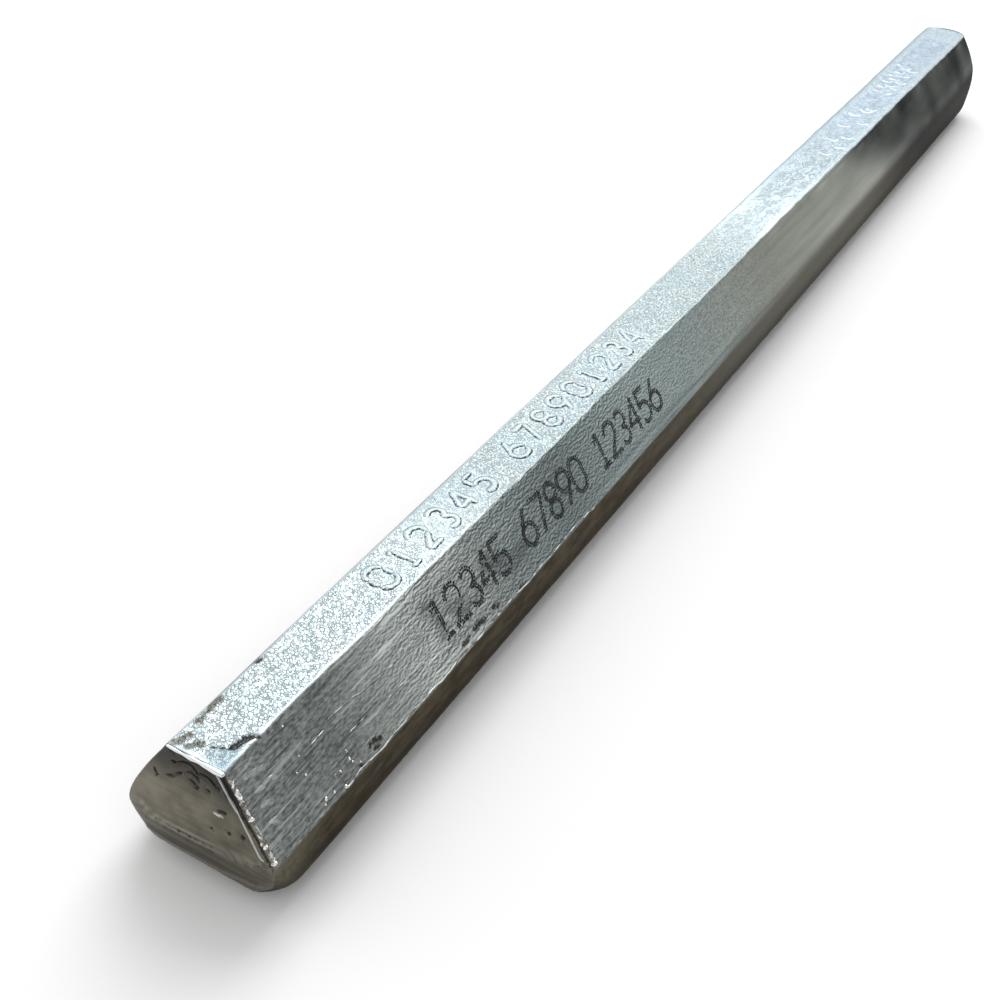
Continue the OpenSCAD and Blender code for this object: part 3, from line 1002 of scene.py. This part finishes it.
level = spread(tree, noise(stretched((1, 0.06, 1)), 1.5), 0.25, 0.75)
blotch = noise(place, 0.35)
end_tone = mix(tree, spread(tree, upright, *END_LEVELS, 0.15, 0.7), blotch, level, "FLOAT")
end_tone = spread(tree, end_tone, 0.25, 0.75)
# The end's brown is a painted reflection of a brown ground.
end_colour = mix(tree, end_tone, (0.115, 0.105, 0.082, 1), (0.195, 0.178, 0.138, 1))
# Painted shade: darker towards the top, under the lip, and towards the foot.
end_colour = mix(tree, spread(tree, upright, *END_SHADE_UNDER_LIP, 0.0, 0.95), end_colour, (0.04, 0.036, 0.031, 1))
end_colour = mix(tree, spread(tree, upright, *END_SHADE_AT_FOOT, 0.0, 0.7), end_colour, (0.05, 0.046, 0.038, 1))
# Painted highlight along the ledges.
end_colour = mix(tree, times(mask("painted_ledge_highlight"), 0.7), end_colour, (0.27, 0.255, 0.21, 1))
dull = noise(stretched((0.35, 1, 1)), 0.8, 4.0)
# The belly's dark browns and greys are a painted reflection of the shaded ground beside it.
belly_colour = mix(tree, spread(tree, dull, 0.3, 0.7), (0.042, 0.036, 0.026, 1), (0.095, 0.082, 0.06, 1))
far_belly = mix(tree, spread(tree, along, *FAR_BELLY), (0.125, 0.129, 0.116, 1), (0.042, 0.045, 0.044, 1))
belly_colour = mix(tree, spread(tree, along, *PALER_BELLY), belly_colour, far_belly)
# Painted shade where the belly turns under.
belly_shade_under_share = spread(tree, upright, *BELLY_SHADE_UNDER, 0.0, 0.85)
belly_colour = mix(tree, belly_shade_under_share, belly_colour, (0.022, 0.0205, 0.0175, 1))
belly_colour = mix(tree, spread(tree, along, *NEAR_CORNER, 0.0, 0.8), belly_colour, end_colour)
print("end and belly skins ready")

# %% [markdown]
# Now the masks lay one skin over another: colour, height and roughness each go through the same
# order. Stains, soot and painted shade come last, because on the real bar the stains and soot lie on
# top. The dull skins also mirror less at a low angle, which the tint of the edge takes care of, and
# the tint is lowered further under the painted dark reflection.

# %% The skins put together
soot_edge = sums(tree, "ADD", mask("soot"), spread(tree, noise(place, 2.2), 0.3, 0.7, -0.3, 0.3))
soot_share = times(spread(tree, soot_edge, 0.3, 0.7), 0.9)
colour = mix(tree, mask("moulded_face"), side_colour, face_colour)
colour = mix(tree, mask("end_wall"), colour, end_colour)
colour = mix(tree, mask("open_cast"), colour, belly_colour)
colour = mix(tree, times(mask("tarnish"), 0.85), colour, (0.13, 0.116, 0.094, 1))
# Polish and painted highlight lighten the colour.
colour = mix(tree, mask("polish"), colour, (0.92, 0.95, 0.95, 1))
# Soot and painted shade darken the colour last.
colour = mix(tree, soot_share, colour, (0.03, 0.028, 0.024, 1))
bump = mix(tree, mask("moulded_face"), side_height, face_height, "FLOAT")
bump = mix(tree, mask("end_wall"), bump, swing(blotch, 0.2), "FLOAT")
bump = mix(tree, mask("open_cast"), bump, swing(dull, 0.5), "FLOAT")
rough = mix(tree, mask("moulded_face"), spread(tree, along, -70.0, 60.0, 0.46, 0.3), 0.42, "FLOAT")
for skin, roughness in (("end_wall", 0.36), ("open_cast", 0.52), ("polish", 0.25)):
    rough = mix(tree, mask(skin), rough, roughness, "FLOAT")
edge_tint = mix(tree, mask("open_cast"), (1, 1, 1, 1), (0.7, 0.66, 0.6, 1))
# Under the painted dark reflection the edge tint is lowered too.
edge_tint = mix(tree, mask("dark_reflection_and_smudges"), edge_tint, (0.5, 0.5, 0.5, 1))
shader.inputs["Metallic"].default_value = 1.0
relief_node = node(tree, "Bump", {"Strength": 1.0, "Distance": 0.00012, "Height": bump})
tree.links.new(edge_tint, shader.inputs["Specular Tint"])
tree.links.new(colour, shader.inputs["Base Color"])
tree.links.new(rough, shader.inputs["Roughness"])
tree.links.new(relief_node.outputs["Normal"], shader.inputs["Normal"])
bar_mesh.materials.append(finish)
print("finish of the bar has", len(tree.nodes), "nodes")

# %% [markdown]
# The raised figures could be pushed up out of the bar's own grid, but the grid is too coarse for
# their crisp feet. Instead each stroke is a low ridge: a rounded profile carried along the stroke,
# with its foot sunk in the face. The foot is painted with shade through the soot and cold-skin
# masks, darkest on the side turned towards the near end and the printed side.

# %% Raised figures as ridges
RIDGE_STEP, LEAST_RINGS = 0.14, 6
FIGURE_PROFILE = np.array([(0.6, -0.1), (0.56, 0.05), (0.36, 0.06), (0.2, 0.15), (0.0, 0.17),
                           (-0.2, 0.15), (-0.36, 0.06), (-0.56, 0.05), (-0.6, -0.1)])
FIGURE_FOOT = np.array([0.8, 1, 1, 0, 0, 0, 1, 1, 0.8])
SHADED_WAY = np.array([-0.7, -0.7])


def ridge(stroke, profile, unevenness=0.2):
    """A profile of (across, lift) carried along a stroke, narrower and lower towards both tips: the
    places (along, up, lift), and for each the direction in which it lies from the stroke."""
    length = run_along(stroke)[-1]
    rings = max(int(length / RIDGE_STEP), LEAST_RINGS)
    at, path = np.linspace(0, length, rings), respaced(stroke, rings)
    forward = np.gradient(path, axis=0)
    forward /= np.linalg.norm(forward, axis=1, keepdims=True)
    left = np.stack([-forward[:, 1], forward[:, 0]], -1)
    tip = np.sqrt(np.clip(np.minimum(at, length - at) / profile[0, 0], 0.02, 1))
    width = tip * (1 + unevenness * soft_noise(path, 0.8, 81))
    aside = (width[:, None] * profile[:, 0])[..., None] * left[:, None]
    lift = np.where(profile[:, 1] > 0, tip[:, None], 1.0) * profile[:, 1]
    places = np.concatenate([path[:, None] + aside, lift[..., None]], -1)
    return places, np.sign(profile[:, :1]) * left[:, None]


def dress(mesh, masks):
    """The bar's finish on a mesh of closed grids, with its masks: each one number for the whole mesh
    or one array for each grid."""
    for name, value in masks.items():
        if np.isscalar(value):
            store_mask(mesh, name, np.full(len(mesh.vertices), float(value)))
        else:
            store_mask(mesh, name, np.concatenate([with_middles(part) for part in value]))
    mesh.materials.append(finish)


figure_ridges = [ridge(stroke, FIGURE_PROFILE) for stroke in cast_strokes]
figure_mesh = grids_mesh("raised_figures", [grid + (0, 0, face_z) for grid, _ in figure_ridges])
# Painted shade at the feet of the ridges, strongest on the side facing the near end and printed side.
shaded = [FIGURE_FOOT * (0.3 + 0.7 * ramp(way @ SHADED_WAY, -0.4, 0.5)) for _, way in figure_ridges]
foot_painted_shade, foot_painted_grey = [0.55 * part for part in shaded], [0.9 * part for part in shaded]
dress(figure_mesh, {"soot": foot_painted_shade, "cold_skin_and_shade": foot_painted_grey, "moulded_face": 1.0, "pebbled": 0.6})
add_piece("raised_figures", figure_mesh)
print(len(figure_ridges), "ridges with", len(figure_mesh.polygons), "faces")

# %% [markdown]
# The first metal that touched the cold end wall wrinkled before the rest had filled in behind it.
# Those wrinkles are lines too, so the same ridge serves, thinner, uneven and sooty, and laid on the
# end's height map.

# %% Folds on the near end
FOLD_PROFILE = np.array([(0.24, -0.12), (0.18, 0.05), (0.0, 0.07), (-0.18, 0.05), (-0.24, -0.12)])
FOLD_UNEVENNESS = 0.6


def on_near_end(grid):
    """Places (across, up, lift) put on the near end, the lift standing out of its height map. Seen
    from outside this runs the other way round, so each ring is turned over."""
    across, up, lift = np.moveaxis(grid[:, ::-1], -1, 0)
    return np.stack([-end_reach(across, up, near_end) - lift, across, up], -1)


fold_ridges = [on_near_end(ridge(stroke, FOLD_PROFILE, FOLD_UNEVENNESS)[0]) for stroke in FOLD_STROKES]
fold_mesh = grids_mesh("end_folds", fold_ridges)
dress(fold_mesh, {"soot": 0.66, "end_wall": 1.0})
add_piece("end_folds", fold_mesh)
print(len(fold_ridges), "folds with", len(fold_mesh.polygons), "faces")

# %% [markdown]
# Melt that squeezed out along the near corner froze as a chain of small bright beads. Single balls
# would look strung on a thread, so the chain is one tube, a circle carried along the corner, whose
# radius swells at each bead.

# %% Beads of flash along the near corner
CHAIN_RINGS, CHAIN_SIDES, TIP_RINGS = 220, 12, 6
CHAIN_TOP, CHAIN_FOOT, CHAIN_LENGTH = 20.4, 10.0, 12.0
THREAD_RADIUS, BEAD_SWELL, BEAD_DEPTH = 0.14, 0.3, 0.3


def corner_path(inset, depth):
    """The near corner's edge from top to foot, moved by inset along the end wall away from the side
    and by depth into the bar."""
    level = np.linspace(CHAIN_TOP, CHAIN_FOOT, CHAIN_RINGS)
    edge = half_at(-near_end.wall) + (face_z - level) * np.tan(SIDE_DRAFT)
    wall = end_reach(0 * level + 3, level, near_end)
    return np.stack([depth - wall, inset / np.cos(SIDE_DRAFT) - edge, level], -1)


def tube(path, radius, flatness=1.0):
    """Rings round a nearly straight path, each of its own radius, closing to a point at both tips;
    flatness squeezes them at right angles to the bar."""
    forward = (path[-1] - path[0]) / np.linalg.norm(path[-1] - path[0])
    first = np.cross(forward, (1, 0, 0))
    first /= np.linalg.norm(first)
    second = np.cross(forward, first)
    step = np.arange(len(path))
    tip = np.sqrt(np.clip(np.minimum(step, step[::-1]) / TIP_RINGS, 0.01, 1))
    angle = np.linspace(0, 2 * np.pi, CHAIN_SIDES, endpoint=False)
    ring = flatness * np.cos(angle)[:, None] * first + np.sin(angle)[:, None] * second
    return np.clip(path[:, None] + (radius * tip)[:, None, None] * ring, low, high)


run = np.linspace(0, CHAIN_LENGTH, CHAIN_RINGS)
run_noise = np.stack([run, 0 * run], -1)
swell = np.abs(np.sin(np.pi * (run + 0.5 * soft_noise(run_noise, 1.1, 71)))) ** 0.7
bead_radius = THREAD_RADIUS + BEAD_SWELL * swell * (0.8 + 0.4 * soft_noise(run_noise, 0.9, 72))
chain_mesh = grids_mesh("corner_beads", [tube(corner_path(0.0, BEAD_DEPTH), bead_radius)])
add_piece("corner_beads", chain_mesh)
print("chain of beads has", len(chain_mesh.polygons), "faces")

# %% [markdown]
# The beads froze free of the mould, so they stayed bright, with dark dross between. Their finish is
# a polished metal whose colour a fine noise breaks up, and the splashed drops will share it.

# %% Finish of the beads
bead_finish, bead_tree, bead_shader = new_material("bright_beads")
bead_place = node(bead_tree, "TexCoord").outputs["Object"]
bead_noise = node(bead_tree, "TexNoise", {"Vector": bead_place, "Scale": 1400.0, "Detail": 2.0})
bead_tone = spread(bead_tree, bead_noise.outputs["Fac"], 0.42, 0.62)
bead_colour = mix(bead_tree, bead_tone, (0.2, 0.18, 0.16, 1), (0.93, 0.93, 0.91, 1))
bead_tree.links.new(bead_colour, bead_shader.inputs["Base Color"])
bead_shader.inputs["Metallic"].default_value = 1.0
bead_shader.inputs["Roughness"].default_value = 0.24
chain_mesh.materials.append(bead_finish)
print("bead finish ready")

# %% [markdown]
# Two more seams of flash frame the end: a thin smooth fin beside the beads, and a bright ragged lip
# just under the narrow face, where the end plate of the mould was not quite tight. The lip's
# brightness is partly polish and partly a painted highlight. Both are tubes like the chain. The lip
# is flattened, and thinner on its far side.

# %% Fin at the corner and lip under the face
FIN_INSET, FIN_DEPTH, FIN_RADIUS = 1.35, 0.06, 0.2
LIP_OUT, LIP_DROP, LIP_RADIUS, LIP_FLATNESS = 0.28, 0.18, 0.36, 0.6
# The lip's polish is partly a painted highlight.
FIN_POLISH, LIP_POLISH = 0.4, 0.85

fin_path = corner_path(FIN_INSET + 0.12 * soft_noise(run_noise, 1.6, 73), FIN_DEPTH)
fin = tube(fin_path, FIN_RADIUS + 0.05 * soft_noise(run_noise, 0.8, 74))
lip_half = half_at(-near_end.wall)
lip_y = np.linspace(lip_half + 0.1, -lip_half - 0.3, CHAIN_RINGS)
lip_drop = LIP_DROP + 0.06 * soft_noise(run_noise, 2.9, 75)
lip_path = np.stack([np.full(CHAIN_RINGS, -near_end.wall - LIP_OUT), lip_y, face_z - lip_drop], -1)
lip_radius = (LIP_RADIUS + 0.12 * soft_noise(run_noise, 1.7, 76)) * (0.6 + 0.4 * ramp(run, 3, 8))
lip_strip = tube(lip_path, lip_radius, LIP_FLATNESS)
flash_mesh = grids_mesh("flash_lips", [fin, lip_strip])
brightness = [np.full(fin.shape[:2], FIN_POLISH), np.full(lip_strip.shape[:2], LIP_POLISH)]
dress(flash_mesh, {"polish": brightness, "end_wall": 1.0})
add_piece("flash_lips", flash_mesh)
print("fin and lip have", len(flash_mesh.polygons), "faces")

# %% [markdown]
# Sliding out of the mould left more lines on the printed side: crusts of black dross above the
# crease, pale licks at the near corner, drag marks, and a burr along the crease itself. Each is a low
# ridge again, laid on the sloping side. The drag marks and the burr carry painted shade on one flank
# and a painted highlight on the other.

# %% Crusts, licks, drag marks and the burr on the crease
CRUST_STROKES = lines(
    ((-123.9, 11.9), (-122.2, 11.9), (-121.4, 11.6)), ((-120.6, 11.5), (-118.6, 11.5), (-116.9, 11.8)),
    ((-115.3, 11.3), (-113.1, 11.9)), ((-108.4, 12.5), (-106.7, 12.5)),
    ((-146.4, 11.7), (-144.8, 11.6), (-143.3, 12.4)), ((-145.6, 12.5), (-144.2, 12.7)),
    ((-148.7, 12.3), (-148.3, 13.0)))
LICK_STROKES = lines(
    ((-163.4, 1.5), (-162.0, 1.3), (-161.0, 0.9)), ((-163.8, 2.3), (-162.0, 2.7), (-160.2, 3.3)),
    ((-161.9, 4.5), (-160.6, 4.8), (-159.7, 5.1)), ((-156.2, 3.7), (-154.8, 3.7)),
    ((-163.4, 4.5), (-161.8, 5.0)), ((-163.8, 6.4), (-161.6, 7.1)), ((-163.9, 8.6), (-161.8, 9.5)))
DRAG_STROKES = lines(
    ((-153.6, 5.6), (-150.7, 5.5)), ((-149.4, 4.9), (-145.1, 5.1)), ((-144.6, 5.2), (-142.0, 5.8)),
    ((-141.2, 5.8), (-138.1, 6.0)), ((-137.0, 6.1), (-134.6, 6.2)), ((-131.9, 8.2), (-130.4, 7.7)),
    ((-139.5, 9.0), (-136.0, 9.1)), ((-135.0, 9.1), (-131.5, 9.3)), ((-147.5, 8.3), (-143.8, 8.4)))
BURR_START, BURR_END, BURR_POINTS, BURR_RISE = -152.0, -84.0, 680, 0.3
SideLine = namedtuple("SideLine", "strokes profile soot polish")


def on_printed_side(along_bar, down_side, lift):
    """A place on the sloping side: the run along the bar, the run down from the face's edge, and the
    lift off the side's own relief."""
    y_side = -(half_at(along_bar) + down_side * np.sin(SIDE_DRAFT))
    flat = np.stack([along_bar, y_side, face_z - down_side * np.cos(SIDE_DRAFT)], -1)
    out = np.array([0, -np.cos(SIDE_DRAFT), np.sin(SIDE_DRAFT)])
    return np.clip(flat + (side_relief(flat) + lift)[..., None] * out, low, high)


burr_x = np.linspace(BURR_START, BURR_END, BURR_POINTS)
burr_wave = 0.22 * soft_noise(np.stack([burr_x, 0 * burr_x], -1), 2.4, 66)
burr_down = (face_z - crease_at(burr_x)) / np.cos(SIDE_DRAFT) - BURR_RISE + burr_wave
burr = np.stack([burr_x, burr_down], -1)
crusts = SideLine(CRUST_STROKES, [(0.55, -0.1), (0.42, 0.02), (0.0, 0.03), (-0.42, 0.02), (-0.55, -0.1)],
                  soot=[0.2, 0.4, 0.7, 0.4, 0.2], polish=[0, 0, 0, 0, 0])
licks = SideLine(LICK_STROKES, [(0.5, -0.1), (0.35, 0.02), (0.0, 0.04), (-0.35, 0.02), (-0.5, -0.1)],
                 soot=[0, 0, 0, 0, 0], polish=[0, 0.1, 0.26, 0.1, 0])
# Drag marks and the burr: painted shade on one flank and a painted highlight on the other.
drags = SideLine(DRAG_STROKES + [burr],
                 [(0.17, -0.1), (0.13, 0.03), (0.0, 0.06), (-0.1, 0.05), (-0.14, -0.1)],
                 soot=[0.75, 0.7, 0.3, 0, 0], polish=[0, 0, 0.4, 0.5, 0.4])
side_lines, line_soot, line_polish = [], [], []
for kind in (crusts, licks, drags):
    for stroke in kind.strokes:
        grid = ridge(stroke, np.array(kind.profile))[0][:, ::-1]
        side_lines.append(on_printed_side(*np.moveaxis(grid, -1, 0)))
        line_soot.append(np.array(kind.soot[::-1]) * np.ones(grid.shape[:2]))
        line_polish.append(np.array(kind.polish[::-1]) * ramp(soft_noise(grid, 0.8, 67), -0.5, 0.4))
mark_mesh = grids_mesh("side_marks", side_lines)
# The side marks take a fixed share of the painted side light.
dress(mark_mesh, {"soot": line_soot, "polish": line_polish, "painted_side_light": 0.7})
add_piece("side_marks", mark_mesh)
print(len(side_lines), "lines on the side with", len(mark_mesh.polygons), "faces")

# %% [markdown]
# Two things sit on the printed side as small lenses: drops of metal that splashed there while the
# mould was filled, and the dots of ink that a jet printed. Both are the same low dome of three rings,
# so one function makes them all as arrays and joins them in one mesh. The drops come first.

# %% Drops of splashed metal
LENS_SIDES = 10
LENS_PROFILE = np.array([(1.0, -0.5), (0.8, 0.45), (0.4, 0.9)])
DROP_RISE = 0.55
SPLASHES = np.array([
    (-149.4, 9.7, 0.24), (-149.5, 10.8, 0.24), (-148.1, 11.0, 0.16), (-149.3, 11.4, 0.18),
    (-148.2, 12.2, 0.22), (-152.6, 11.0, 0.36), (-151.7, 11.1, 0.26), (-152.0, 13.1, 0.3),
    (-155.4, 12.2, 0.34), (-155.9, 12.6, 0.22), (-155.5, 1.2, 0.14), (-157.2, 6.9, 0.24),
    (-156.2, 7.9, 0.18), (-155.7, 5.5, 0.14), (-153.9, 12.4, 0.2)])


def lens_mesh(name, spots, radius, rise):
    """Every spot (along, down) as a dome: rings at the profile's shares of radius and rise, and a
    middle point at the full rise."""
    angle = np.linspace(0, 2 * np.pi, LENS_SIDES, endpoint=False)
    circle = np.stack([np.cos(angle), np.sin(angle)], -1)
    rings = spots[:, None, None] + (radius[:, None] * LENS_PROFILE[:, 0])[..., None, None] * circle
    flat = np.concatenate([rings.reshape(len(spots), -1, 2), spots[:, None]], 1)
    lift = np.append(np.repeat(LENS_PROFILE[:, 1], LENS_SIDES), 1.0) * rise[:, None]
    points = on_printed_side(flat[..., 0], flat[..., 1], lift)
    turn = np.arange(LENS_SIDES)
    ahead = (turn + 1) % LENS_SIDES
    band = np.stack([turn, LENS_SIDES + turn, LENS_SIDES + ahead, ahead], -1)
    cap = np.stack([2 * LENS_SIDES + turn, np.full(LENS_SIDES, 3 * LENS_SIDES), 2 * LENS_SIDES + ahead], -1)
    base = np.arange(len(spots))[:, None, None] * (3 * LENS_SIDES + 1)
    quads = (base + np.concatenate([band, band + LENS_SIDES])).reshape(-1, 4)
    caps = (base + cap).reshape(-1, 3)
    return smooth_mesh(name, points.reshape(-1, 3), quads.tolist() + caps.tolist())


splash_mesh = lens_mesh("splash_drops", SPLASHES[:, :2], SPLASHES[:, 2], DROP_RISE * SPLASHES[:, 2])
splash_mesh.materials.append(bead_finish)
add_piece("splash_drops", splash_mesh)
print(len(SPLASHES), "drops of splashed metal")

# %% [markdown]
# Before the bars are boxed, a jet prints a row of figures on one side. Plain counting numbers stand
# here. The dots follow the same strokes as the cast figures, in two rows out of line. Near the first
# end the metal is rough and takes the ink badly, so some dots are missing there.

# %% Dots of ink
INK_STEP, INK_RADIUS, INK_RISE, ROW_GAP, INK_STRAY = 0.42, 0.24, 0.05, 0.42, 0.06
POOR_INK_ZONE = (-125, -89)
ink_strokes = row_of_figures("12345 67890 123456", start=-126.6, pitch=4.05, size=(5.6, 5.6), foot=-9.4)


def dots_along(stroke):
    """Two rows of places along a stroke, one ink step apart in each row and half a step out of line."""
    count = 2 * max(int(run_along(stroke)[-1] / INK_STEP), 2) + 1
    chosen = np.linspace(0, len(stroke) - 1, count).round().astype(int)
    forward = np.gradient(stroke, axis=0)[chosen]
    aside = np.stack([-forward[:, 1], forward[:, 0]], -1) / np.linalg.norm(forward, axis=1, keepdims=True)
    row = np.where(np.arange(count) % 2, 0.5, -0.5)[:, None]
    return (stroke[chosen] + ROW_GAP * row * aside) * (1, -1)


ink_spots = np.concatenate([dots_along(stroke) for stroke in ink_strokes])
stray = np.stack([soft_noise(ink_spots, 0.3, 62), soft_noise(ink_spots, 0.3, 63)], -1)
ink_spots = ink_spots + INK_STRAY * stray
ink_failure = soft_noise(ink_spots, 1.1, 64) + 0.5 * soft_noise(ink_spots, 0.5, 65)
missing = ink_failure > 0.5 + 0.6 * ramp(ink_spots[:, 0], *POOR_INK_ZONE)
ink_spots = ink_spots[~missing]
ink_radius = INK_RADIUS * (1 + 0.18 * soft_noise(ink_spots, 0.4, 61))
ink_mesh = lens_mesh("ink_figures", ink_spots, ink_radius, np.full(len(ink_spots), INK_RISE))
add_piece("ink_figures", ink_mesh)
print(len(ink_spots), "dots of ink,", int(missing.sum()), "left out")

# %% [markdown]
# Dried ink is black and dull, and thinner in some places than in others. A fine noise between two
# near blacks shows that, with little gloss.

# %% Finish of the ink
ink_finish, ink_tree, ink_shader = new_material("dried_ink")
ink_place = node(ink_tree, "TexCoord").outputs["Object"]
ink_patch = node(ink_tree, "TexNoise", {"Vector": ink_place, "Scale": 900.0, "Detail": 2.0}).outputs["Fac"]
ink_tone = spread(ink_tree, ink_patch, 0.35, 0.65)
ink_colour = mix(ink_tree, ink_tone, (0.006, 0.007, 0.008, 1), (0.03, 0.033, 0.034, 1))
ink_tree.links.new(ink_colour, ink_shader.inputs["Base Color"])
ink_shader.inputs["Roughness"].default_value = 0.6
ink_shader.inputs["Specular IOR Level"].default_value = 0.25
ink_mesh.materials.append(ink_finish)
print("ink finish ready")
